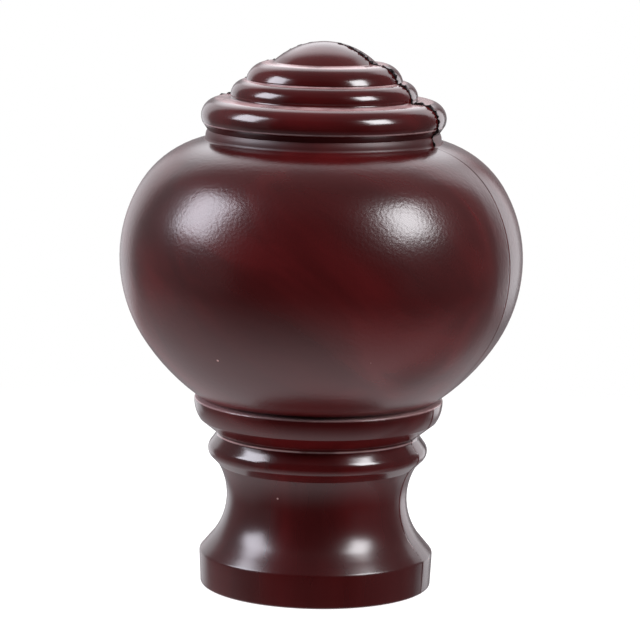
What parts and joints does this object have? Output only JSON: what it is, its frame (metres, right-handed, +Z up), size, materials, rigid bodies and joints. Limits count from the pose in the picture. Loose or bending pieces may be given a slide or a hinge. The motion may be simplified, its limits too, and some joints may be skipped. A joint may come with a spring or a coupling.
{
  "type": "curtain pole finial",
  "caption": "Hollow moulded curtain pole finial: a round ball under a stepped, domed cap, on a splayed foot whose socket slides over the pole's end.",
  "frame": {"origin": "centre of the foot's underside, where the socket's mouth is", "axes": "+Z up the finial's own axis, from the socket's mouth to the dome; the mould's parting plane is XZ"},
  "size_m": [0.0719, 0.0718, 0.0979],
  "materials": {
    "wood_look_plastic": "satin gloss, dark red-brown wood look"
  },
  "bodies": {
    "root": {"finial_shell": "wood_look_plastic"}
  },
  "joints": []
}
